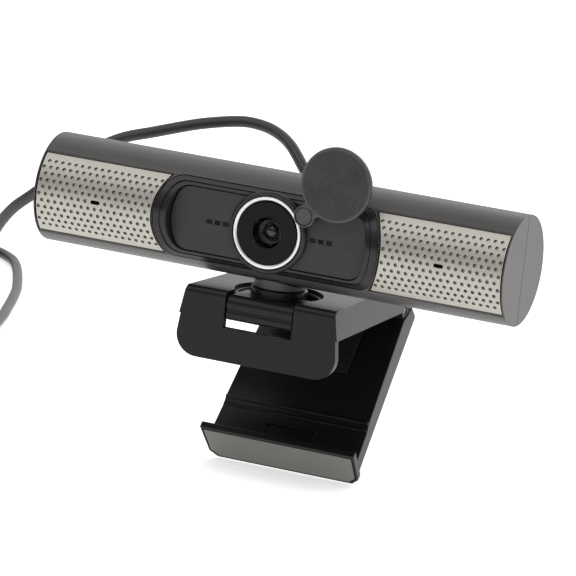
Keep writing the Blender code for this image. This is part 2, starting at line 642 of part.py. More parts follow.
INNER_FACE = -0.9 * MM
STEP_START, STEP_END = -51.4 * MM, -54.2 * MM
STEP_FACE = -1.9 * MM
FOOT_LEAN = radians(7.0)
FOOT_TOP = 6.3 * MM
FOOT_THICKNESS = 2.8 * MM


def leg_half(y, inset=0.0):
    """Half-width of the leg at a distance y from its hinge."""
    return (27.9 + 3.3 * min(max(-y / LEG_LENGTH, 0.0), 1.0)) * MM - inset


def outer_face(y):
    """Height of the leg's outer face: it thins towards the foot."""
    run = -y / LEG_LENGTH
    return -LEG_THICK_TOP + run * (LEG_THICK_TOP - LEG_THICK_END)


def foot_slab(name, low, high, front, back, half_low, half_high, finish=None):
    """A slab across the leg's end, leaning back by FOOT_LEAN, with cut lower corners."""
    chamfer = 3.0 * MM
    outline = [(-half_low + chamfer, low), (half_low - chamfer, low), (half_low, low + chamfer),
               (half_high, high), (-half_high, high), (-half_low, low + chamfer)]
    slab = prism(name, outline, front, back, "Y", finish)
    lean = Matrix.Translation((0.0, -LEG_LENGTH, -FOOT_DEPTH))
    lean = lean @ Matrix.Rotation(-FOOT_LEAN, 4, "X")
    slab.data.transform(lean)
    return slab


def leg_frame():
    profile = [(-4.0 * MM, INNER_FACE), (STEP_START, INNER_FACE), (STEP_END, STEP_FACE),
               (-69.5 * MM, STEP_FACE), (-71.0 * MM, outer_face(-71 * MM)),
               (3.4 * MM, outer_face(3.4 * MM)), (4.3 * MM, -9.6 * MM), (4.3 * MM, -4.2 * MM),
               (2.0 * MM, -3.6 * MM)]
    leg = prism("leg_frame", profile, 0, 0, "X", "clip_black",
                width_at=lambda y, z: leg_half(y))
    foot_rise = FOOT_DEPTH + FOOT_TOP
    join(leg, foot_slab("foot", 0.0, foot_rise, 0.0, FOOT_THICKNESS, 31.4 * MM, 32.3 * MM))
    for low, high in ((-13.8, 13.8), (21.6, 27.4), (-27.4, -21.6)):
        join(leg, rod("knuckle", 3.2 * MM, (0.0, 0.0), low * MM, high * MM, "X", 20))
        join(leg, box("root", (low * MM, high * MM), (-4.5 * MM, 1.5 * MM),
                      (-5.0 * MM, -1.0 * MM)))
    for sign in (-1, 1):
        low, high = sorted((sign * 13.8 * MM, sign * 21.6 * MM))
        cut(leg, box("lug_room", (low, high), (-4.2 * MM, 6 * MM), (-4.8 * MM, 5 * MM)))
    pocket = prism("pocket", [(-66 * MM, -4.6 * MM), (-6.5 * MM, -4.6 * MM), (-2.5 * MM, -8.2 * MM),
                              (-0.5 * MM, -8.4 * MM), (-0.5 * MM, -30 * MM), (-66 * MM, -30 * MM)], 0, 0, "X",
                   width_at=lambda y, z: leg_half(y, 2.2 * MM))
    slot = box("slot", (-10.3 * MM, 10.3 * MM), (-66.5 * MM, -59 * MM), (-2.9 * MM, 5 * MM))
    plate_seat = foot_slab("plate_seat", 0.9 * MM, foot_rise - 1.3 * MM, -3 * MM, 0.9 * MM,
                           30.6 * MM, 31.2 * MM)
    cut(leg, pocket, slot, plate_seat,
        rod("bore", 1.3 * MM, (0.0, 0.0), -40 * MM, 40 * MM, "X", 16))
    return leg


def leg_cover():
    """Back panel that closes the hollow side of the leg."""
    reach = (-65.7 * MM, -0.8 * MM)
    profile = [(reach[0], outer_face(reach[0]) + 1.5 * MM), (reach[1], outer_face(reach[1]) + 1.5 * MM),
               (reach[1], outer_face(reach[1])), (reach[0], outer_face(reach[0]))]
    return prism("leg_cover", profile, 0, 0, "X", "clip_black",
                 width_at=lambda y, z: leg_half(y, 2.5 * MM))


def leg_pad():
    return prism("leg_pad", [(-12 * MM, INNER_FACE + GAP), (-32 * MM, INNER_FACE + GAP),
                             (-32 * MM, INNER_FACE + 1.1 * MM), (-12 * MM, INNER_FACE + 1.1 * MM)],
                 -14 * MM, 14 * MM, "X", "rubber_black")


def foot_plate():
    """Inset plate on the front of the foot."""
    return foot_slab("foot_plate", 1.2 * MM, FOOT_DEPTH + FOOT_TOP - 1.6 * MM, -0.2 * MM,
                     0.6 * MM, 30.3 * MM, 30.9 * MM, "foot_grey")


for piece in (leg_frame(), leg_cover(), leg_pad(), foot_plate()):
    hang(piece, leg_axis, (0.0, 0.0, 0.0))
hang(rod("leg_pin", 1.0 * MM, (LEG_AXIS.y, LEG_AXIS.z), -27.0 * MM, 27.0 * MM,
         "X", 16, "steel"), tilt_axis)


# ---- cord: gland, free lead, stored coil and plug ---------------------------

LEAD_Z = FLOOR + CORD_RADIUS + 0.05 * MM

# Route of the lead about the bar's middle, in millimetres: out of the back, over
# in a low arch to the left, down to the floor and back towards the coil
ROUTE = [
    (0, 42, 0), (-0.3, 46.5, 0.2), (-4, 51.5, 3), (-10.5, 54, 7.5), (-17, 56, 12), (-22, 58.5, 16.7),
    (-26.7, 61, 20.5), (-32.5, 64, 23.2), (-39.6, 66, 25.1), (-47.7, 66, 25.8),
    (-54.8, 65, 25), (-61.6, 62.5, 23.7), (-68.7, 60, 21.9), (-83, 56, 17.2),
    (-96.3, 51.5, 12.5), (-111, 46, 2.5), (-124.4, 43, -11.5), (-136.5, 44.5, -22),
    (-148, 53, -36), (-158, 66, -55), (-167, 82, -74), (-177, 102, -90),
    (-186, 126, -97), (-193, 151, -97), (-201, 178, -97), (-209, 200, -97),
    (-217.4, 222, -97), (-226.6, 244, -97), (-242.6, 276, -97), (-254.4, 296, -97),
    (-264, 306.5, -97), (-273, 315, -97),
]
TAIL = [(-336, 286, 4.6), (-336, 281, 4.2), (-336, 276.3, 4.0)]


def through(points, spacing):
    """Points at even spacing along a Catmull-Rom curve through the given ones."""
    ends = [points[0] * 2 - points[1]] + points + [points[-1] * 2 - points[-2]]
    fine = []
    for a, b, c, d in zip(ends, ends[1:], ends[2:], ends[3:]):
        for step in range(12):
            t = step / 12
            fine.append(0.5 * (2 * b + (c - a) * t + (2 * a - 5 * b + 4 * c - d) * t ** 2
                               + (3 * b - a - 3 * c + d) * t ** 3))
    fine.append(points[-1])
    total = sum((b - a).length for a, b in zip(fine, fine[1:]))
    count = max(2, ceil(total / spacing))
    even, travelled, target = [fine[0]], 0.0, total / count
    for a, b in zip(fine, fine[1:]):
        length = (b - a).length
        while travelled + length >= target - 1e-9 and len(even) < count:
            even.append(a.lerp(b, (target - travelled) / length))
            target += total / count
        travelled += length
    even.append(fine[-1])
    return even


def lead(name, points, finish="cord_black"):
    curve = bpy.data.curves.new(name, "CURVE")
    curve.dimensions = "3D"
    curve.bevel_depth = CORD_RADIUS
    curve.bevel_resolution = 2
    curve.use_fill_caps = True
    spline = curve.splines.new("POLY")
    spline.points.add(len(points) - 1)
    for point, place in zip(spline.points, points):
        point.co = (*place, 1.0)
    curve.materials.append(finishes[finish])
    piece = bpy.data.objects.new(name, curve)
    bpy.context.scene.collection.objects.link(piece)
    return piece


def on_floor(x, y, z):
    """A point given in millimetres, its height measured from the floor."""
    return Vector((x * MM, y * MM, FLOOR + z * MM))


route = []
for x, y, z in ROUTE:
    route.append(Vector((x * MM, y * MM, max(z * MM, LEAD_Z) if z > -97 else LEAD_Z)))
run = through(route, 10.5 * MM)
for point in run:
    point.z = max(point.z, LEAD_Z)
hang(lead("cord_tube", run), bar_axis)
hang(lead("cord_tail", through([on_floor(*point) for point in TAIL], 5 * MM)), bar_axis)

hang(turned("cord_gland", [(0.0, 15.0), (5.0, 15.0), (5.0, 16.9), (3.7, 16.9), (3.7, 21.3),
                           (4.8, 21.3), (4.8, 22.6), (4.0, 23.6), (3.5, 30.0), (3.0, 41.0),
                           (0.0, 41.0)], "rubber_black", steps=24), bar_axis)

inner = COIL_RADIUS - 1.5 * COIL_TURN_PITCH
outer = COIL_RADIUS + 1.5 * COIL_TURN_PITCH
COIL_HEIGHT = 9.2 * MM
coil = [(inner, 0.1 * MM), (outer, 0.1 * MM), (outer, COIL_HEIGHT), (inner, COIL_HEIGHT)]
coil_place = COIL_CENTRE + Vector((0.0, 0.0, FLOOR))
hang(lathe("cord_coil", coil, coil_place, (0, 0, 1), 40, "cord_black"), bar_axis)


def cord_tie():
    """Strap over the coil on the side away from the plug, open at the floor."""
    low, high = COIL_CENTRE.x - 4 * MM, COIL_CENTRE.x + 4 * MM
    far = COIL_CENTRE.y + outer
    near = COIL_CENTRE.y + inner
    strap = box("cord_tie", (low, high), (near - 1.6 * MM, far + 1.6 * MM),
                (FLOOR + 0.1 * MM, FLOOR + COIL_HEIGHT + 1.4 * MM), "rubber_black")
    return cut(strap, box("room", (low - 1 * MM, high + 1 * MM), (near - 0.5 * MM, far + 0.5 * MM),
                          (FLOOR - 5 * MM, FLOOR + COIL_HEIGHT + GAP)))


PLUG = on_floor(-336, 276, 4.0)


def plug_pieces():
    """Rubber boot, moulded body, metal shell and the tongue inside it, along -Y."""
    boot = turned("plug_boot", [(0.0, 0.0), (2.7, 0.0), (3.4, 14.0), (0.0, 14.0)],
                  "rubber_black", PLUG, 20, (0, -1, 0))
    body_half = (7.6 * MM, 3.9 * MM)
    y0, y1 = PLUG.y - 14.3 * MM, PLUG.y - 36 * MM
    corner = 1.6 * MM
    outline = []
    for index, (sx, sz) in enumerate(((1, 1), (-1, 1), (-1, -1), (1, -1))):
        centre = (PLUG.x + sx * (body_half[0] - corner), PLUG.z + sz * (body_half[1] - corner))
        outline += arc(corner, index * pi / 2, (index + 1) * pi / 2, centre, 3)
    body = prism("plug_body", outline, y1, y0, "Y", "rubber_black")
    shell = box("plug_shell", (PLUG.x - 6 * MM, PLUG.x + 6 * MM), (y1 - 18 * MM, y1 - GAP),
                (PLUG.z - 2.25 * MM, PLUG.z + 2.25 * MM), "steel")
    cut(shell, box("mouth", (PLUG.x - 5.6 * MM, PLUG.x + 5.6 * MM), (y1 - 30 * MM, y1 - 1 * MM),
                   (PLUG.z - 1.85 * MM, PLUG.z + 1.85 * MM)))
    tongue = box("plug_tongue", (PLUG.x - 5.2 * MM, PLUG.x + 5.2 * MM),
                 (y1 - 17.2 * MM, y1 - 1.3 * MM), (PLUG.z - 0.1 * MM, PLUG.z + 1.5 * MM),
                 "plug_insulator")
    return boot, body, shell, tongue


hang(cord_tie(), bar_axis)
for piece in plug_pieces():
    hang(piece, bar_axis)
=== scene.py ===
# Looks of a bar webcam on its folding screen clip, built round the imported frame.
# Shapes are given in millimetres about the middle of the bar: x along it, -y out of
# the lens, z up. The function placed() turns them into the frame's metres.
import json
from math import cos, pi, radians, sin, sqrt

import bmesh
import bpy
import numpy as np
from mathutils import Matrix, Vector


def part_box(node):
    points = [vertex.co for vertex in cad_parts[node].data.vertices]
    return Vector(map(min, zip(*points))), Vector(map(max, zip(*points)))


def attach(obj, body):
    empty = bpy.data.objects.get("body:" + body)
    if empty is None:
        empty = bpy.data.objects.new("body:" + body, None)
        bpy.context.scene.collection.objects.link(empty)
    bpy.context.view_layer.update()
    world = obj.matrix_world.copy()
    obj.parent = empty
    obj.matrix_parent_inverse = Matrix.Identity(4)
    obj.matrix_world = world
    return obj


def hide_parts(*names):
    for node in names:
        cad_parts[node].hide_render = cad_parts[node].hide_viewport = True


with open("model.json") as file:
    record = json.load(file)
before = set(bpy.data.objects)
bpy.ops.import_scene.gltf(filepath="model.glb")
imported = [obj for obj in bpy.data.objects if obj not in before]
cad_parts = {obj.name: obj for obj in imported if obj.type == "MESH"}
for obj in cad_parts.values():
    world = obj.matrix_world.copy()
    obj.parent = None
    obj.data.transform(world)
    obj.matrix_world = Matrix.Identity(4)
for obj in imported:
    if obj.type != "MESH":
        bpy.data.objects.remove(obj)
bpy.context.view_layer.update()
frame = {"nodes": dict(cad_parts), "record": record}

mm = 0.001
shellLow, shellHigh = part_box("front_shell")
barRadius = (shellHigh.z - shellLow.z) / 2 / mm
barHalf = (shellHigh.x - shellLow.x) / 2 / mm
middle = np.array((0.0, shellLow.y + barRadius * mm, (shellLow.z + shellHigh.z) / 2))
floorZ = -middle[2] / mm
bodyOf = {node: body for body, nodes in frame["record"]["behaviour"]["bodies"].items() for node in nodes}
slotOf = {row["node"]: row["material_slot"] for row in frame["record"]["subparts"]}


def placed(points):
    return np.asarray(points, float) * mm + middle


# ---- camera -----------------------------------------------------------------

cameraLook = dict(aim=(4.9, -3.2, -22.1), distance=1648.0, azimuth=22.15, elevation=10.98,
                  roll=6.28, lens=274.1)


def makeCamera(look):
    # Stands off from the aim along a direction given by azimuth and elevation, then rolls
    turn, lift, roll = (radians(look[key]) for key in ("azimuth", "elevation", "roll"))
    back = Vector((sin(turn) * cos(lift), -cos(turn) * cos(lift), sin(lift)))
    level = Vector((cos(turn), sin(turn), 0.0))
    upright = back.cross(level)
    right = level * cos(roll) + upright * sin(roll)
    up = back.cross(right)
    camera = bpy.data.objects.new("camera", bpy.data.cameras.new("camera"))
    bpy.context.scene.collection.objects.link(camera)
    camera.data.lens = look["lens"]
    camera.data.clip_start, camera.data.clip_end = 0.05, 20.0
    place = Vector(placed(look["aim"])) + back * look["distance"] * mm
    camera.matrix_world = Matrix.Translation(place) @ Matrix((right, up, back)).transposed().to_4x4()
    bpy.context.scene.camera = camera


makeCamera(cameraLook)
print("camera set")


# ---- shader expressions -----------------------------------------------------

class Wire:
    # One output socket. Sums and products of wires add Math nodes; node() adds any other node

    def __init__(self, tree, socket):
        self.tree, self.socket = tree, socket

    def node(self, kind, settings, values, output=0):
        made = self.tree.nodes.new(kind)
        stops = settings.pop("stops", None)
        for key, value in settings.items():
            setattr(made, key, value)
        if stops:
            for element, (place, tone) in zip(made.color_ramp.elements, stops):
                element.position, element.color = place, (tone, tone, tone, 1.0)
        feed(made, values)
        return Wire(self.tree, made.outputs[output])

    def math(self, operation, first, second=0.0):
        return self.node("ShaderNodeMath", {"operation": operation}, {0: first, 1: second})

    def __add__(self, other):
        return self.math("ADD", self, other)

    def __sub__(self, other):
        return self.math("SUBTRACT", self, other)

    def __rsub__(self, other):
        return self.math("SUBTRACT", other, self)

    def __mul__(self, other):
        return self.math("MULTIPLY", self, other)

    def __truediv__(self, other):
        return self.math("DIVIDE", self, other)

    def __pow__(self, other):
        return self.math("POWER", self, other)

    __radd__ = __add__
    __rmul__ = __mul__


def feed(node, values):
    for key, value in values.items():
        socket = node.inputs[key]
        if isinstance(value, Wire):
            value.tree.links.new(value.socket, socket)
        else:
            socket.default_value = value


finishes = {}


def startFinish(slot):
    # A new material for a slot of the record, its shader and its object coordinates
    words = slot.split("_")
    material = bpy.data.materials.new(words[0] + "".join(word.title() for word in words[1:]))
    material.use_nodes = True
    tree = material.node_tree
    finishes[slot] = material
    return tree.nodes["Principled BSDF"], Wire(tree, tree.nodes.new("ShaderNodeTexCoord").outputs["Object"])


def noise(place, scale, detail=2.0, stretch=None):
    # Cloudy noise, scale in features per metre; stretch scales each direction first
    if stretch:
        place = place.node("ShaderNodeMapping", {}, {"Vector": place, "Scale": stretch})
    return place.node("ShaderNodeTexNoise", {}, {"Vector": place, "Scale": scale, "Detail": detail})


def mixColour(factor, first, second):
    return factor.node("ShaderNodeMix", {"data_type": "RGBA"},
                       {0: factor, 6: (*first, 1.0), 7: (*second, 1.0)}, 2)


def bumped(height, depth):
    # Bump with a full strength, its depth in millimetres
    return height.node("ShaderNodeBump", {}, {"Height": height, "Strength": 1.0, "Distance": depth * mm})


def axisOf(place, axis):
    return place.node("ShaderNodeSeparateXYZ", {}, {0: place}, "XYZ".index(axis))


# ---- finishes ---------------------------------------------------------------

# colour, how far it wanders, roughness and its spread, texture grains per metre and depth
mouldedLooks = {
    "satin_black": dict(colour=(0.058, 0.055, 0.052), wander=0.10, rough=0.40, spread=0.08,
                        grain=5200.0, depth=0.006, specular=0.5),
    "clip_black": dict(colour=(0.009, 0.009, 0.009), wander=0.14, rough=0.33, spread=0.08,
                       grain=4300.0, depth=0.007, specular=0.22),
    "gloss_black": dict(colour=(0.015, 0.015, 0.015), wander=0.06, rough=0.24, spread=0.06,
                        grain=900.0, depth=0.002, specular=0.34),
    "rubber_black": dict(colour=(0.014, 0.014, 0.014), wander=0.20, rough=0.62, spread=0.12,
                         grain=3000.0, depth=0.012, specular=0.2),
    "chip_black": dict(colour=(0.020, 0.020, 0.022), wander=0.10, rough=0.45, spread=0.10,
                       grain=6000.0, depth=0.004, specular=0.4),
    "cone_grey": dict(colour=(0.070, 0.070, 0.075), wander=0.15, rough=0.75, spread=0.10,
                      grain=2500.0, depth=0.015, specular=0.3),
    "plug_insulator": dict(colour=(0.62, 0.63, 0.66), wander=0.05, rough=0.45, spread=0.08,
                           grain=3500.0, depth=0.004, specular=0.5),
    "foot_grey": dict(colour=(0.155, 0.150, 0.140), wander=0.08, rough=0.36, spread=0.08,
                      grain=6500.0, depth=0.005, specular=0.5, metal=0.35),
}


def mouldedFinish(slot, look):
    shader, place = startFinish(slot)
    cloud = noise(place, 60.0, 4.0)
    grain = noise(place, look["grain"], 2.0)
    dark = [c * (1 - look["wander"]) for c in look["colour"]]
    light = [c * (1 + look["wander"]) for c in look["colour"]]
    feed(shader, {"Base Color": mixColour(cloud, dark, light),
                  "Roughness": look["rough"] + (cloud + grain - 1.0) * look["spread"],
                  "Normal": bumped(grain, look["depth"]),
                  "Metallic": look.get("metal", 0.0),
                  "Specular IOR Level": look["specular"]})


for slot, look in mouldedLooks.items():
    mouldedFinish(slot, look)

grilleLook = dict(dark=(0.38, 0.365, 0.33), light=(0.55, 0.53, 0.48), rough=0.50, sparkle=7000.0, face=20.66,
                  shade=0.10)


def grilleFinish(look):
    # Warm silver coating with fine flakes. The distance from the bar's middle line tells how deep a point lies
    # in a dimple. There painted shade darkens what faces down and right, as under a light from the upper left,
    # and the slot's floor is painted black as shade standing in for its dark open hole
    shader, place = startFinish("grille_metal")
    centred = place.node("ShaderNodeMapping", {}, {"Vector": place, "Location": tuple(-middle)})
    y, z = axisOf(centred, "Y"), axisOf(centred, "Z")
    deep = (look["face"] * mm - (y * y + z * z) ** 0.5) / mm
    # painted shade: points deeper in a dimple are darker
    shaded = deep.node("ShaderNodeMapRange", {}, {"Value": deep, "From Min": 0.0, "From Max": look["shade"]})
    # painted shade: the slot's floor goes black, standing in for the dark inside its open hole
    black = deep.node("ShaderNodeMapRange", {}, {"Value": deep, "From Min": 0.88, "From Max": 0.98})
    facing = Wire(place.tree, place.tree.nodes.new("ShaderNodeNewGeometry").outputs["Normal"])
    away = axisOf(facing, "X") * 0.5 - axisOf(facing, "Z") * 0.85
    turnedAway = away.node("ShaderNodeMapRange", {}, {"Value": away, "From Min": -0.45, "From Max": 0.55,
                                                      "To Min": 0.12, "To Max": 0.93})
    flakes = noise(place, look["sparkle"], 1.0)
    cloud = noise(place, 90.0, 3.0)
    tone = flakes * 0.7 + cloud * 0.3
    plain = mixColour(tone, look["dark"], look["light"])
    # painted shade: the flake colour is mixed towards near black where deep and facing down and right
    shadePainted = plain.node("ShaderNodeMix", {"data_type": "RGBA"},
                        {0: shaded * turnedAway, 6: plain, 7: (0.02, 0.019, 0.017, 1.0)}, 2)
    colour = shadePainted.node("ShaderNodeMix", {"data_type": "RGBA"},
                         {0: black, 6: shadePainted, 7: (0.004, 0.004, 0.004, 1.0)}, 2)
    feed(shader, {"Base Color": colour, "Metallic": 1.0,
                  "Roughness": look["rough"] + (flakes - 0.5) * 0.2,
                  "Normal": bumped(flakes, 0.010)})


grilleFinish(grilleLook)


def turnedMetal(slot, colour, rough, lines):
    # Fine rings about the lens axis: a sine of the radius, broken up by noise
    shader, place = startFinish(slot)
    centred = place.node("ShaderNodeMapping", {}, {"Vector": place, "Location": tuple(-middle)})
    x, z = axisOf(centred, "X"), axisOf(centred, "Z")
    radius = (x * x + z * z) ** 0.5
    rings = radius.math("SINE", radius * lines) * 0.5 + noise(place, 2500.0, 2.0) * 0.5
    feed(shader, {"Base Color": mixColour(rings, [c * 0.93 for c in colour], colour), "Metallic": 1.0,
                  "Roughness": rough + rings * 0.08, "Normal": bumped(rings, 0.002)})


def steelFinish():
    shader, place = startFinish("steel")
    streaks = noise(place, 1.0, 3.0, (300.0, 5200.0, 300.0))
    feed(shader, {"Base Color": mixColour(streaks, (0.50, 0.50, 0.51), (0.66, 0.66, 0.67)),
                  "Metallic": 1.0, "Roughness": 0.24 + streaks * 0.14, "Normal": bumped(streaks, 0.003)})


def fasciaFinish():
    # Matt black with fine level lines: a sine of the height plus long level streaks
    shader, place = startFinish("fascia_black")
    height = axisOf(place, "Z")
    lines = height.math("SINE", height * (2 * pi / 0.00052)) * 0.5 + 0.5
    streaks = noise(place, 1.0, 3.0, (55.0, 55.0, 5200.0))
    tone = lines * 0.35 + streaks * 0.65
    feed(shader, {"Base Color": mixColour(tone, (0.008, 0.008, 0.009), (0.062, 0.062, 0.062)),
                  "Roughness": 0.42 + streaks * 0.16, "Normal": bumped(tone, 0.020),
                  "Specular IOR Level": 0.3})


def cordFinish():
    # Satin jacket with faint drawn streaks and scuffs
    shader, place = startFinish("cord_black")
    scuff = noise(place, 450.0, 5.0)
    grain = noise(place, 5000.0, 1.0)
    feed(shader, {"Base Color": mixColour(scuff, (0.026, 0.024, 0.024), (0.048, 0.044, 0.044)),
                  "Roughness": 0.34 + scuff * 0.20, "Normal": bumped(grain + scuff * 0.5, 0.006)})


def boardFinish():
    # Green mask, with lighter copper runs where two sets of stretched cells meet
    shader, place = startFinish("board_green")
    cells = place.node("ShaderNodeTexVoronoi", {"feature": "DISTANCE_TO_EDGE", "distance": "CHEBYCHEV"},
                       {"Vector": place, "Scale": 420.0})
    runs = cells.node("ShaderNodeValToRGB", {"stops": ((0.05, 1.0), (0.09, 0.0))}, {0: cells})
    feed(shader, {"Base Color": mixColour(runs, (0.012, 0.085, 0.035), (0.05, 0.22, 0.09)),
                  "Roughness": 0.48 - cells * 0.2, "Normal": bumped(runs, 0.03)})


def indicatorFinish():
    # Smoked pill with three black windows; the bars between and beyond them are lighter
    shader, place = startFinish("indicator_smoke")
    x = axisOf(place, "X")
    fromMiddle = x.math("ABSOLUTE", x.math("ABSOLUTE", x) - indicatorX * mm)
    inDot = x.math("LESS_THAN", fromMiddle, 1.15 * mm)
    inEnd = x.math("GREATER_THAN", fromMiddle, 2.1 * mm) * x.math("LESS_THAN", fromMiddle, 4.6 * mm)
    bar = 1 - inDot - inEnd * 0.9
    tone = bar + noise(place, 2500.0) * 0.1
    feed(shader, {"Base Color": mixColour(tone, (0.002, 0.002, 0.002), (0.060, 0.059, 0.057)),
                  "Roughness": 0.30 + bar * 0.2, "Normal": bumped(tone, 0.03),
                  "Specular IOR Level": 0.08})


def lensGlassFinish():
    # Coated glass: a blue cast that turns to violet where cloudy noise is strong
    shader, place = startFinish("lens_glass")
    smear = noise(place, 300.0, 3.0)
    feed(shader, {"Base Color": mixColour(smear, (0.008, 0.014, 0.032), (0.022, 0.012, 0.030)),
                  "Roughness": 0.04 + smear * 0.03, "IOR": 1.6, "Coat Weight": 0.6})


def windowGlassFinish(clearRadius):
    # Black print on the glass with a clear middle, told apart by the distance from the lens axis
    shader, place = startFinish("window_glass")
    centred = place.node("ShaderNodeMapping", {}, {"Vector": place, "Location": tuple(-middle)})
    x, z = axisOf(centred, "X"), axisOf(centred, "Z")
    radius = (x * x + z * z) ** 0.5
    printed = radius.node("ShaderNodeMapRange", {}, {"Value": radius, "From Min": clearRadius * mm,
                                                     "From Max": (clearRadius + 0.5) * mm,
                                                     "To Min": 0.12, "To Max": 1.0})
    smear = noise(place, 300.0, 3.0)
    feed(shader, {"Base Color": mixColour(smear, (0.0025, 0.0025, 0.003), (0.0045, 0.0045, 0.005)),
                  "Roughness": 0.03 + smear * 0.04, "Alpha": printed, "Specular IOR Level": 0.12})


indicatorX = 21.1
turnedMetal("ring_metal", (0.90, 0.90, 0.88), 0.48, 2 * pi / 0.00025)
steelFinish()
fasciaFinish()
cordFinish()
boardFinish()
indicatorFinish()
lensGlassFinish()
windowGlassFinish(5.6)
print("finishes made:", len(finishes))


# ---- surfaces ---------------------------------------------------------------

def gridFaces(rows, columns, around=False, closed=False):
    # Quads between the points of a grid counted row by row; around joins the last
    # column to the first, and closed joins the last row to the first
    r = np.arange(rows if closed else rows - 1)[:, None]
    c = np.arange(columns if around else columns - 1)[None, :]
    below, right = (r + 1) % rows, (c + 1) % columns
    corners = (r * columns + c, r * columns + right, below * columns + right, below * columns + c)
    return np.stack(np.broadcast_arrays(*corners), -1).reshape(-1, 4)


def dress(piece, slot, body, replaced=(), sharp=32.0):
    piece.data.materials.clear()
    piece.data.materials.append(finishes[slot])
    piece.data.shade_smooth()
    piece.data.set_sharp_from_angle(angle=radians(sharp))
    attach(piece, body)
    if replaced:
        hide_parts(*replaced)
    return piece


def newObject(name, bm):
    mesh = bpy.data.meshes.new(name)
    bm.to_mesh(mesh)
    bm.free()
    piece = bpy.data.objects.new(name, mesh)
    bpy.context.scene.collection.objects.link(piece)
    return piece


def surface(name, grids, slot, body, replaced=(), sharp=32.0):
    # Joins grids of points (rows, columns, 3), given as (points, around, closed), into one piece
    verts, faces, start = [], [], 0
    for points, around, closed in grids:
        faces.append(gridFaces(*points.shape[:2], around, closed) + start)
        verts.append(placed(points.reshape(-1, 3)))
        start += len(verts[-1])
    mesh = bpy.data.meshes.new("draft")
    mesh.from_pydata(np.vstack(verts).tolist(), [], np.vstack(faces).tolist())
    bm = bmesh.new()
    bm.from_mesh(mesh)
    bpy.data.meshes.remove(mesh)
    bmesh.ops.remove_doubles(bm, verts=bm.verts, dist=1e-6)
    bmesh.ops.dissolve_degenerate(bm, edges=bm.edges, dist=1e-7)
    bmesh.ops.recalc_face_normals(bm, faces=bm.faces)
    return dress(newObject(name, bm), slot, body, replaced, sharp)


def eased(points, radius, steps=4):
    # A line whose inner corners are rounded by short curves that start a radius away
    points = np.asarray(points, float)
    t = np.linspace(0, 1, steps + 1)[:, None]
    line = [points[:1]]
    for before, corner, after in zip(points, points[1:], points[2:]):
        into, out = before - corner, after - corner
        reach = min(radius, np.linalg.norm(into) / 2.1, np.linalg.norm(out) / 2.1)
        first = corner + into / np.linalg.norm(into) * reach
        last = corner + out / np.linalg.norm(out) * reach
        line.append((1 - t) ** 2 * first + 2 * t * (1 - t) * corner + t ** 2 * last)
    return np.vstack(line + [points[-1:]])


def turned(profile, centre=(0.0, 0.0), axis="Y", steps=96, start=0.0, sweep=2 * pi):
    # Radius and height pairs carried round an axis: x and z (or x and y) go round the
    # centre at that radius, and the height runs along the axis
    angles = start + sweep * np.arange(steps) / (steps if sweep == 2 * pi else steps - 1)
    r, h = np.asarray(profile, float).T
    a = centre[0] + r[:, None] * np.cos(angles)
    b = centre[1] + r[:, None] * np.sin(angles)
    h = np.broadcast_to(h[:, None], a.shape)
    return np.stack((a, h, b) if axis == "Y" else (a, b, h), -1)


def ridges(inner, outer, count, height, base, samples=8):
    # Radius and height pairs across sharp concentric ridges: between two ridges the height
    # falls away from the base as a sine without its sign
    t = np.linspace(0, 1, count * samples + 1)
    return np.column_stack((inner + (outer - inner) * t, base + height * np.abs(np.sin(pi * count * t))))


def refined(node, edge=0.25, sharp=35.0):
    # A merged copy of a CAD node with its flat faces made whole and its edges rounded
    words = node.split("_")
    bm = bmesh.new()
    bm.from_mesh(frame["nodes"][node].data)
    bmesh.ops.remove_doubles(bm, verts=bm.verts, dist=1e-6)
    bmesh.ops.dissolve_limit(bm, angle_limit=radians(0.6), verts=bm.verts, edges=bm.edges)
    piece = newObject(words[0] + "".join(word.title() for word in words[1:]), bm)
    if edge:
        bevel = piece.modifiers.new("edges", "BEVEL")
        bevel.width, bevel.segments = edge * mm, 2
        bevel.limit_method, bevel.angle_limit = "ANGLE", radians(sharp)
        bevel.use_clamp_overlap = node == "clip_body"
        bevel.harden_normals = True
    return dress(piece, slotOf[node], bodyOf[node], (node,), sharp)


# ---- lead: gland, free run, stored coil and plug ----------------------------

leadLook = dict(radius=2.25, layers=(2.35, 6.95), pitch=4.5, entryRadius=34.0, coilCentre=(-306.0, 303.0),
                entryAngle=20.0, stepAngle=60.0, turnsIn=3, endAngle=1980.0, length=1.38)

leadRoute = [
    (0, 42, 0), (-0.3, 46.5, 0.2), (-4, 51.5, 3), (-10.5, 54, 7.5), (-17, 56, 12), (-22, 58.5, 16.7),
    (-26.7, 61, 20.5), (-32.5, 64, 23.2), (-39.6, 66, 25.1), (-47.7, 66, 25.8),
    (-54.8, 65, 25), (-61.6, 62.5, 23.7), (-68.7, 60, 21.9), (-83, 56, 17.2),
    (-96.3, 51.5, 12.5), (-111, 46, 2.5), (-124.4, 43, -11.5), (-136.5, 44.5, -22),
    (-148, 53, -36), (-158, 66, -55), (-167, 82, -74), (-177, 102, -90),
    (-186, 126, -97), (-193, 151, -97), (-201, 178, -97), (-209, 200, -97),
    (-217.4, 222, -97), (-226.6, 244, -97), (-242.6, 276, -97), (-254.4, 296, -97),
    (-264, 306.5, -97),
]


def throughPoints(points, steps=8):
    # A smooth curve through the points: each span is a cubic whose slopes come from its neighbours
    p = np.vstack((2 * points[0] - points[1], points, 2 * points[-1] - points[-2]))
    a, b, c, d = (p[k:len(p) - 3 + k, None] for k in range(4))
    t = (np.arange(steps) / steps)[None, :, None]
    spans = 0.5 * (2 * b + (c - a) * t + (2 * a - 5 * b + 4 * c - d) * t ** 2
                   + (3 * b - a - 3 * c + d) * t ** 3)
    return np.vstack((spans.reshape(-1, 3), points[-1:]))


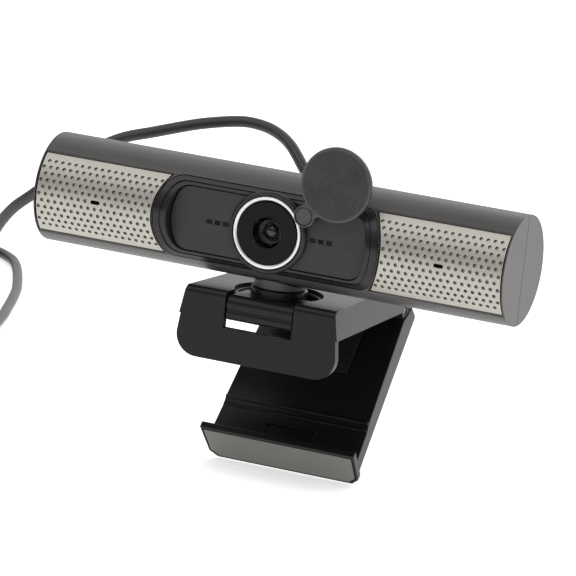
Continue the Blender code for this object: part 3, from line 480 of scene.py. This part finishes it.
def coilPath(look):
    # Turns about the coil's centre. Each time round, the radius moves by a cord's width
    # while the angle crosses the entry window: in for three turns, then out one layer up
    angle = np.arange(look["entryAngle"], look["endAngle"] + 1, 6.0)
    turn = (angle - look["entryAngle"]) / 360
    count = np.floor(turn)
    share = np.clip((turn - count) * 360 / look["stepAngle"], 0, 1)
    steps = count + share * share * (3 - 2 * share)
    inward = np.minimum(steps, look["turnsIn"])
    outward = np.maximum(steps - look["turnsIn"] - 1, 0)
    radius = look["entryRadius"] - look["pitch"] * (inward - outward)
    rise = np.clip((turn - look["turnsIn"]) * 360 / 75 + 1, 0, 1)
    low, high = look["layers"]
    height = floorZ + low + (high - low) * rise * rise * (3 - 2 * rise)
    x = look["coilCentre"][0] + radius * np.cos(np.radians(angle))
    y = look["coilCentre"][1] + radius * np.sin(np.radians(angle))
    return np.column_stack((x, y, height))


def tubeAlong(path, radius, sides=16):
    # Rings square to the path: across is level, upright completes the square
    way = np.gradient(path, axis=0)
    way /= np.linalg.norm(way, axis=1)[:, None]
    across = np.cross(way, (0.0, 0.0, 1.0))
    across /= np.linalg.norm(across, axis=1)[:, None]
    upright = np.cross(across, way)
    angle = (2 * pi * np.arange(sides) / sides)[None, :, None]
    rings = path[:, None] + radius * (np.cos(angle) * across[:, None] + np.sin(angle) * upright[:, None])
    first = np.broadcast_to(path[0], (1, sides, 3))
    last = np.broadcast_to(path[-1], (1, sides, 3))
    return np.concatenate((first, rings, last))


def leadPath(look):
    lowest = floorZ + look["layers"][0]
    free = np.array(leadRoute, float)
    free[:, 2] = np.where(free[:, 2] <= -97, lowest, np.maximum(free[:, 2], lowest))
    free[0, 1] = glandLook["end"] - 0.5
    coil = coilPath(look)
    plugX, plugTop, plugZ = plugLook["place"]
    tail = np.array([(plugX, y, floorZ + z) for y, z in ((294.0, 6.4), (288.0, 5.2), (282.0, 4.3),
                                                         (plugTop - 1.0, plugZ))])
    line = throughPoints(np.vstack((free, coil[::3], tail)), 5)
    line[:, 2] = np.maximum(line[:, 2], lowest)
    return line


glandLook = dict(end=41.0, ribs=6)
plugLook = dict(place=(-336.0, 276.0, 4.0))


def glandProfile(look):
    # Collar, then a taper from 4.0 to 3.0 with grooves cut as the square of a sine
    t = np.linspace(0, 1, look["ribs"] * 10 + 1)
    taper = 4.1 - 1.05 * t - 0.55 * np.sin(pi * look["ribs"] * t) ** 2 * (t < 1)
    body = np.column_stack((taper, 24.0 + (look["end"] - 24.0) * t))
    head = eased([(0.0, 15.0), (4.9, 15.0), (4.9, 16.9), (3.7, 16.9), (3.7, 21.3), (4.8, 21.3),
                  (4.8, 23.0), (4.1, 24.0)], 0.35)
    return np.vstack((head, body, [(2.4, look["end"]), (0.0, look["end"])]))


def bootProfile():
    # Strain relief of the plug: a taper that widens from 2.7 to 3.4 with five grooves
    t = np.linspace(0, 1, 51)
    taper = 2.7 + 0.7 * t - 0.45 * np.sin(pi * 5 * t) ** 2
    return np.vstack(([(0.0, 0.0)], np.column_stack((taper, -14.0 * t)), [(0.0, -14.0)]))


gland = surface("gland", [(turned(glandProfile(glandLook), steps=48), True, False)], "rubber_black",
                "bar", ("cord_gland",), 50.0)
plugX, plugTop, plugZ = plugLook["place"]
bootPoints = turned(bootProfile(), (plugX, floorZ + plugZ), steps=40)
bootPoints[..., 1] += plugTop
boot = surface("plugBoot", [(bootPoints, True, False)], "rubber_black", "bar", ("plug_boot",), 50.0)
plugBody = refined("plug_body", 0.5)
plugShell = refined("plug_shell", 0.12)
plugTongue = refined("plug_tongue", 0.1)
coilTie = refined("cord_tie", 0.3)
leadLine = leadPath(leadLook)
lead = surface("lead", [(tubeAlong(leadLine, leadLook["radius"]), True, False)], "cord_black", "bar",
               ("cord_tube", "cord_coil", "cord_tail"), 60.0)
leadLong = np.linalg.norm(np.diff(leadLine, axis=0), axis=1).sum() * mm
print("lead made, metres long:", round(float(leadLong), 3))


# ---- grilles ----------------------------------------------------------------

grilleShape = dict(radius=20.7, inner=19.5, halfAngle=45.3, rowAngle=7.17, rows=5, pitch=2.79, slotX=70.0,
                   endX=94.65, arcCentre=20.1, arcRadius=26.75, dimple=0.72, depth=0.8, rim=0.8,
                   dent=((1.0, 0.0), (0.94, 0.30), (0.84, 0.66), (0.6, 0.88), (0.0, 1.0)),
                   slotLength=3.9, slotHeight=1.5, slotDepth=1.1)


def cellRing(wide, tall):
    # Points round a rectangle one unit tall and wide/tall units long, in steps of 1/tall
    x = np.concatenate((np.arange(wide), np.full(tall, wide), np.arange(wide, 0, -1), np.zeros(tall)))
    y = np.concatenate((np.zeros(wide), np.arange(tall), np.full(wide, tall), np.arange(tall, 0, -1)))
    return np.column_stack((x / tall - wide / tall / 2, y / tall - 0.5))


def cellPoints(ring, width, height, reach, radius, levels):
    # Rings from a rectangle's edge to a slot with round ends: each point aims at the nearest
    # point of the slot's middle line, and every level is a share of the radius and a depth
    edge = ring * (width, height)
    core = np.column_stack((np.clip(edge[:, 0], -reach, reach), np.zeros(len(edge))))
    way = (edge - core) / np.linalg.norm(edge - core, axis=1)[:, None]
    rings = [np.column_stack((edge, np.zeros(len(edge))))]
    rings += [np.column_stack((core + way * radius * share, np.full(len(edge), depth)))
              for share, depth in levels]
    return np.stack(rings)


def grillePanel(side, sign, look):
    # Rows of cells round the bar, each with its dimple, trimmed to the concave end by
    # holding every point at the edge; then a wall inwards and a plain sheet behind
    r, step = look["radius"], radians(look["rowAngle"])
    pitch, tall = look["pitch"], look["radius"] * radians(look["rowAngle"])
    dent = [(share, deep * look["depth"]) for share, deep in look["dent"]]
    slot = [(1.0, 0.0), (0.94, 0.5), (0.90, look["slotDepth"]), (0.0, look["slotDepth"])]
    small, large = cellRing(4, 4), cellRing(8, 4)
    dimpled = cellPoints(small, pitch, tall, 0.0, look["dimple"], dent)
    slotted = cellPoints(large, pitch, tall, (look["slotLength"] - look["slotHeight"]) / 2,
                         look["slotHeight"] / 2, slot)
    edges = [(row + 0.5) * step for row in range(look["rows"] + 1)]
    last = radians(look["halfAngle"])
    edges.append(last)
    count = len(edges)
    sheets, outlines = [], []
    for row in range(1 - count, count):
        low = -edges[-row] if row < 0 else (-edges[0] if row == 0 else edges[row - 1])
        high = -edges[-row - 1] if row < 0 else edges[row]
        shift = 0.5 if row % 2 == 0 else 0.0
        for k in range(-13, 11):
            x = look["slotX"] + (k + shift) * pitch
            atSlot = row == 0 and k == 0
            if row == 0 and k == -1:
                continue                      # the slot's cell covers two places
            cell = slotted if atSlot else dimpled
            centre = look["slotX"] if atSlot else x
            mid = (low + high) / 2
            edgeX = look["arcCentre"] + sqrt(look["arcRadius"] ** 2 - (r * sin(mid)) ** 2)
            if centre < edgeX - 2 * pitch or centre - pitch / 2 > look["endX"]:
                continue
            open_ = atSlot or (abs(row) <= look["rows"] and edgeX + look["rim"] < x < look["endX"] - 0.6)
            depth = cell[..., 2] * (1.0 if open_ else 0.0)
            along = centre + cell[..., 0]
            angle = mid + cell[..., 1] / tall * (high - low)
            trim = look["arcCentre"] + np.sqrt(look["arcRadius"] ** 2 - (r * np.sin(angle)) ** 2)
            along = np.clip(along, trim, look["endX"])
            sheets.append(np.stack((sign * along, angle, r - depth), -1))
            outlines.append(np.stack((sign * along[0], angle[0], np.full(len(angle[0]), look["inner"])), -1))
    bm = bmesh.new()
    for sheet in sheets:
        rings, columns = sheet.shape[:2]
        verts = [bm.verts.new(p) for p in rolled(sheet.reshape(-1, 3))]
        for quad in gridFaces(rings, columns, True):
            bm.faces.new([verts[i] for i in quad])
    bmesh.ops.remove_doubles(bm, verts=bm.verts, dist=2e-6)
    bmesh.ops.dissolve_degenerate(bm, edges=bm.edges, dist=1e-6)
    rim = [edge for edge in bm.edges if len(edge.link_faces) == 1]
    wall = bmesh.ops.extrude_edge_only(bm, edges=rim)["geom"]
    for vert in (item for item in wall if isinstance(item, bmesh.types.BMVert)):
        out = Vector((0.0, vert.co.y - middle[1], vert.co.z - middle[2]))
        vert.co -= out * (1 - look["inner"] * mm / out.length)
    for outline in outlines:
        bm.faces.new([bm.verts.new(p) for p in rolled(outline)])
    bmesh.ops.remove_doubles(bm, verts=bm.verts, dist=2e-6)
    bmesh.ops.dissolve_degenerate(bm, edges=bm.edges, dist=1e-6)
    bmesh.ops.recalc_face_normals(bm, faces=bm.faces)
    name = "grille" + side
    return dress(newObject(name, bm), "grille_metal", "bar", ("grille_" + side.lower(),), 24.0)


def rolled(points):
    # x, angle and radius to a place: the angle is measured up from the lens direction
    x, angle, radius = np.asarray(points).T
    return placed(np.column_stack((x, -radius * np.cos(angle), radius * np.sin(angle))))


for side, sign in (("Left", -1), ("Right", 1)):
    panel = grillePanel(side, sign, grilleShape)
    print("grille made:", panel.name, len(panel.data.polygons), "faces")


# ---- face: bezel, fascia, indicators ----------------------------------------

faceShape = dict(centre=20.1, outer=(25.6, 15.4, 7.0), mouth=(20.4, 12.4, 6.0), radius=20.9, back=-12.8,
                 nest=15.9, nestBack=-15.9)


def faceLine(endRadius, halfHeight, corner, centre, steps=14, along=28):
    # The face's outline: bowed ends, round corners, level top and base, as (x, z) points
    lift = halfHeight - corner
    cornerX = centre + sqrt((endRadius - corner) ** 2 - lift ** 2)
    bow = np.arcsin(lift / (endRadius - corner))
    end = np.linspace(-bow, bow, 2 * steps)
    right = np.column_stack((centre + endRadius * np.cos(end), endRadius * np.sin(end)))
    up = np.linspace(bow, pi / 2, steps)[1:]
    top = np.column_stack((cornerX + corner * np.cos(up), lift + corner * np.sin(up)))
    level = np.linspace(cornerX, -cornerX, along)[1:-1]
    lid = np.column_stack((level, np.full(len(level), halfHeight)))
    quarter = np.vstack((top[::-1] * (1, -1), right, top, lid))
    return np.vstack((quarter, -quarter[:len(quarter) - len(lid)], -lid))


def bezel(look):
    # Bands across the bezel: share of the way from the outer edge to the mouth, and how far
    # each lies off the bar's round surface; both edges run straight back
    bands = eased([(0.0, -1.0), (0.0, 0.0), (0.47, 0.0), (0.50, -0.45), (0.56, -0.45), (0.60, -0.10),
                   (0.94, -0.22), (1.0, -0.75)], 0.035, 2)
    share, lift = bands[:, 0], bands[:, 1]
    outer, mouth = (faceLine(*look[key], look["centre"]) for key in ("outer", "mouth"))
    outline = outer + share[:, None, None] * (mouth - outer)
    x, z = outline[..., 0], outline[..., 1]
    y = -np.sqrt((look["radius"] + lift[:, None]) ** 2 - z ** 2)
    inNest = np.hypot(x, z) < look["nest"]
    y = np.where(inNest, np.maximum(y, look["nestBack"]), y)
    front = np.stack((x, y, z), -1)
    backs = np.stack([np.column_stack((line[:, 0], np.full(len(line), look["back"]), line[:, 1]))
                      for line in (mouth, outer)])
    return surface("bezel", [(np.concatenate((front, backs)), True, True)], "gloss_black", "bar",
                   ("bezel_rim",), 28.0)


bezel(faceShape)
refined("fascia_panel", 0.06)

indicatorShape = dict(centre=21.1, length=10.3, height=1.62, front=-15.93, back=-15.2)


def indicator(side, sign, look):
    # Flat pill that fills its slot: each point lies at a share of the way from the nearest
    # point of the pill's middle line to its outline
    radius = look["height"] / 2
    reach = look["length"] / 2 - radius
    end = np.linspace(-pi / 2, pi / 2, 13)
    right = np.column_stack((reach + radius * np.cos(end), radius * np.sin(end)))
    outline = np.vstack((right, -right))
    core = np.column_stack((np.clip(outline[:, 0], -reach, reach), np.zeros(len(outline))))
    rows = [(0.0, look["back"]), (1.0, look["back"]), (1.0, look["front"] + 0.06), (0.92, look["front"]),
            (0.0, look["front"])]
    points = [core + (outline - core) * share for share, _ in rows]
    grid = np.stack([np.column_stack((sign * look["centre"] + flat[:, 0], np.full(len(flat), y), flat[:, 1]))
                     for flat, (_, y) in zip(points, rows)])
    node = "indicator_" + side.lower()
    return surface("indicator" + side, [(grid, True, False)], "indicator_smoke", "bar", (node,), 30.0)


for side, sign in (("Left", -1), ("Right", 1)):
    indicator(side, sign, indicatorShape)
print("face made")


# ---- lens -------------------------------------------------------------------

lensProfiles = {
    "collar": ([(9.6, -12.6), (10.9, -12.6), (10.9, -16.3), (15.6, -16.3), (15.6, -17.2), (14.9, -18.1),
                (14.05, -18.1), (13.95, -17.0), (9.6, -17.0), (9.6, -12.6)], 0.22, "gloss_black",
               "lens_barrel"),
    "brightRing": ([(12.3, -17.3), (13.65, -17.3), (13.65, -17.95), (13.4, -18.3), (12.75, -18.3),
                    (12.3, -17.8), (12.3, -17.3)], 0.14, "ring_metal", "lens_ring"),
    "window": ([(0.0, -17.15), (12.0, -17.15), (12.0, -17.7), (11.6, -17.8), (0.0, -17.8)], 0.15,
               "window_glass", "lens_window"),
    "snout": ([(0.0, -13.4), (2.8, -13.4), (3.1, -14.1), (4.2, -14.9), (4.7, -14.9), (5.6, -14.0),
               (5.6, -9.5), (8.0, -9.5), (8.0, -2.6), (5.6, -2.6), (5.6, -4.4), (0.0, -4.4)], 0.16,
              "gloss_black", "lens_module"),
    "frontGlass": ([(0.0, -14.7), (0.7, -14.66), (1.4, -14.48), (2.0, -14.2), (2.6, -13.7), (0.0, -13.7)],
                   0.1, "lens_glass", "lens_element"),
}
for name, (profile, radius, slot, node) in lensProfiles.items():
    surface(name, [(turned(eased(profile, radius), steps=128), True, False)], slot, bodyOf[node], (node,), 40.0)
print("lens made")


# ---- lens cover -------------------------------------------------------------

coverShape = dict(pivot=(15.124, 9.195), arm=17.7, openAngle=50.3, radius=14.1, back=-18.6, front=-20.8,
                  ridges=18, ridgeDepth=0.34, hub=4.1)


def coverDisc(look):
    # Ridged front inside a plain rim, all turned about the disc's own middle
    angle = radians(look["openAngle"])
    centre = (look["pivot"][0] + look["arm"] * cos(angle), look["pivot"][1] + look["arm"] * sin(angle))
    front, back, r = look["front"], look["back"], look["radius"]
    face = ridges(0.0, r - 0.95, look["ridges"], look["ridgeDepth"], front + 0.02)
    rim = eased([(r - 0.9, front + 0.02), (r - 0.85, front), (r - 0.5, front), (r, front + 0.5),
                 (r, back - 0.3), (r - 0.3, back), (r - 2.0, back)], 0.25)
    profile = np.vstack((face, rim, [(0.0, back)]))
    return surface("coverDisc", [(turned(profile, centre, steps=144), True, False)], "satin_black",
                   "cover", ("lens_cover",), 60.0)


def coverHub(look):
    # Ring round the pivot, with a seat for the rivet's head
    front, back, r = look["front"], look["back"], look["hub"]
    profile = eased([(1.5, back), (r - 0.2, back), (r, back - 0.3), (r, front + 0.35), (r - 0.35, front),
                     (3.6, front), (3.35, front + 0.6), (1.5, front + 0.6), (1.5, back)], 0.12)
    return surface("coverHub", [(turned(profile, look["pivot"], steps=72), True, False)], "satin_black",
                   "cover", (), 60.0)


def coverWeb(look):
    # Neck between hub and disc: the half-width widens as the square of the way along,
    # and the front lies a little below both
    angle = radians(look["openAngle"])
    s = np.linspace(1.8, 8.2, 17)
    half = 3.3 + 0.105 * (s - 1.8) ** 2
    across = np.array((-1.0, -0.985, -0.9, -0.5, 0.0, 0.5, 0.9, 0.985, 1.0))
    front = np.stack(np.broadcast_arrays(s[:, None], across * half[:, None], look["front"] + 0.35
                                         + 0.35 * np.abs(across) ** 40), -1)
    rear = front[:, ::-1].copy()
    rear[..., 2] = look["back"] - 0.05
    loop = np.concatenate((front, rear), 1)
    ends = [np.broadcast_to(loop[i].mean(0), (1, *loop[i].shape)) for i in (0, -1)]
    loop = np.concatenate((ends[0], loop, ends[1]))
    x = look["pivot"][0] + loop[..., 0] * cos(angle) - loop[..., 1] * sin(angle)
    z = look["pivot"][1] + loop[..., 0] * sin(angle) + loop[..., 1] * cos(angle)
    return surface("coverWeb", [(np.stack((x, loop[..., 2], z), -1), True, False)], "satin_black",
                   "cover", (), 40.0)


def coverRivet(look):
    # Head with three fine rings, and the shank and tail behind it
    head = ridges(0.0, 2.75, 3, 0.16, -21.0)
    rest = eased([(2.75, -21.0), (3.0, -20.85), (3.1, -20.5), (1.2, -20.5), (1.2, -14.2), (2.2, -14.2),
                  (2.2, -13.5), (0.0, -13.5)], 0.1)
    return surface("rivet", [(turned(np.vstack((head, rest)), look["pivot"], steps=64), True, False)],
                   "satin_black", "bar", ("cover_rivet",), 60.0)


coverDisc(coverShape)
coverHub(coverShape)
coverWeb(coverShape)
coverRivet(coverShape)
print("lens cover made")


# ---- housing, neck, clip and leg --------------------------------------------

refinedEdges = {
    "front_shell": 0.0, "rear_shell": 0.0, "neck_column": 0.3, "swivel_arm": 0.35, "clip_body": 0.35,
    "seat_pad": 0.3, "lip_pad": 0.3, "leg_frame": 0.4, "leg_cover": 0.25, "leg_pad": 0.3, "foot_plate": 0.2,
    "shell_screw_1": 0.1, "shell_screw_2": 0.1, "shell_screw_3": 0.1, "shell_screw_4": 0.1,
    "tilt_pin": 0.15, "leg_pin": 0.15, "swivel_screw": 0.1,
}
for node, edge in refinedEdges.items():
    refined(node, edge)

ledgeShape = dict(centre=(0.0, 0.5), outer=16.95, inner=15.4, top=-26.3, foot=-29.45, start=-44.0, sweep=268.0)


def scoopLedge(look):
    # Step inside the dish round the neck, open to the front
    profile = eased([(look["outer"], look["foot"]), (look["outer"], look["top"]), (look["inner"], look["top"]),
                     (look["inner"] - 0.6, look["foot"]), (look["outer"], look["foot"])], 0.3)
    points = turned(profile, look["centre"], "Z", 72, radians(look["start"]), radians(look["sweep"]))
    ends = [np.broadcast_to(points[:, i].mean(0), (len(points), 3))[:, None] for i in (0, -1)]
    points = np.concatenate((ends[0], points, ends[1]), 1)
    return surface("scoopLedge", [(points, False, False)], "clip_black", "clip", (), 40.0)


scoopLedge(ledgeShape)

legShape = dict(axis=(64.5, -36.5), open=48.9, halfTop=27.9, widen=3.3, length=72.6, ridges=(-51.4, -54.2),
                faces=(-0.9, -1.9), bead=0.7)


def legRidges(look):
    # Two half-sunk beads across the leg's inner face: a tube along a level line each,
    # turned with the leg about its hinge
    angle = radians(look["open"])
    grids = []
    for y, z in zip(look["ridges"], look["faces"]):
        half = look["halfTop"] - look["widen"] * y / look["length"] - 0.3
        line = np.column_stack((np.linspace(-half, half, 9), np.zeros(9), np.zeros(9)))
        tube = tubeAlong(line, look["bead"]) + (0.0, y, z)
        away = tube[..., 1] * cos(angle) - tube[..., 2] * sin(angle) + look["axis"][0]
        height = tube[..., 1] * sin(angle) + tube[..., 2] * cos(angle) + look["axis"][1]
        grids.append((np.stack((tube[..., 0], away, height), -1), True, False))
    return surface("legRidges", grids, "clip_black", "leg", (), 60.0)


legRidges(legShape)

for node, shown in frame["nodes"].items():
    if not shown.hide_render:
        shown.data.materials.clear()
        shown.data.materials.append(finishes[slotOf[node]])
print("clip and leg made")


# ---- studio -----------------------------------------------------------------

studio = dict(floorHalf=4.0, floorColour=(0.95, 0.95, 0.94), floorGlow=0.5, exposure=0.0,
              front=0.05, back=1.15, above=0.45)
lamps = {
    "overhead": dict(place=(-0.35, -0.75, 1.25), aim=(0.0, 0.0, 0.06), size=(1.7, 1.1), power=7.0),
    "rear": dict(place=(0.4, 1.3, 0.9), aim=(0.0, 0.0, 0.05), size=(1.8, 0.9), power=6.0),
    "right": dict(place=(1.5, 0.2, 0.5), aim=(0.0, 0.0, 0.08), size=(0.8, 0.8), power=3.0),
}


def makeFloor(look):
    half = look["floorHalf"]
    mesh = bpy.data.meshes.new("floor")
    z = -0.0003
    mesh.from_pydata([(-half, -half, z), (half, -half, z), (half, half, z), (-half, half, z)], [],
                     [(0, 1, 2, 3)])
    material = bpy.data.materials.new("paleFloor")
    material.use_nodes = True
    feed(material.node_tree.nodes["Principled BSDF"],
         {"Base Color": (*look["floorColour"], 1.0), "Roughness": 0.6, "Specular IOR Level": 0.2,
          "Emission Color": (1.0, 1.0, 1.0, 1.0), "Emission Strength": look["floorGlow"]})
    mesh.materials.append(material)
    floor = bpy.data.objects.new("floor", mesh)
    bpy.context.scene.collection.objects.link(floor)


def makeLamp(name, look):
    lamp = bpy.data.lights.new(name, "AREA")
    lamp.shape, lamp.size, lamp.size_y = "RECTANGLE", *look["size"]
    lamp.energy = look["power"]
    holder = bpy.data.objects.new(name, lamp)
    bpy.context.scene.collection.objects.link(holder)
    place, aim = Vector(look["place"]), Vector(look["aim"])
    holder.location = place
    holder.rotation_euler = (aim - place).to_track_quat("-Z", "Y").to_euler()


def makeWorld(look):
    # Plain white to the eye; as light it is bright behind the object and dim in front
    world = bpy.data.worlds.new("studio")
    bpy.context.scene.world = world
    world.use_nodes = True
    tree = world.node_tree
    way = Wire(tree, tree.nodes.new("ShaderNodeTexCoord").outputs["Generated"])
    toBack = way.node("ShaderNodeMapRange", {}, {"Value": axisOf(way, "Y"), "From Min": -0.3, "From Max": 0.5,
                                                 "To Min": look["front"], "To Max": look["back"]})
    upward = way.node("ShaderNodeMapRange", {}, {"Value": axisOf(way, "Z"), "From Min": 0.05, "From Max": 0.45,
                                                 "To Min": 0.0, "To Max": look["above"]})
    seen = Wire(tree, tree.nodes.new("ShaderNodeLightPath").outputs["Is Camera Ray"])
    light = toBack.math("MAXIMUM", toBack, upward)
    feed(tree.nodes["Background"], {"Color": (1.0, 1.0, 1.0, 1.0),
                                    "Strength": seen + (1 - seen) * light})


makeFloor(studio)
for name, look in lamps.items():
    makeLamp(name, look)
makeWorld(studio)
bpy.context.scene.view_settings.view_transform = "Standard"
bpy.context.scene.view_settings.exposure = studio["exposure"]
print("studio lit")
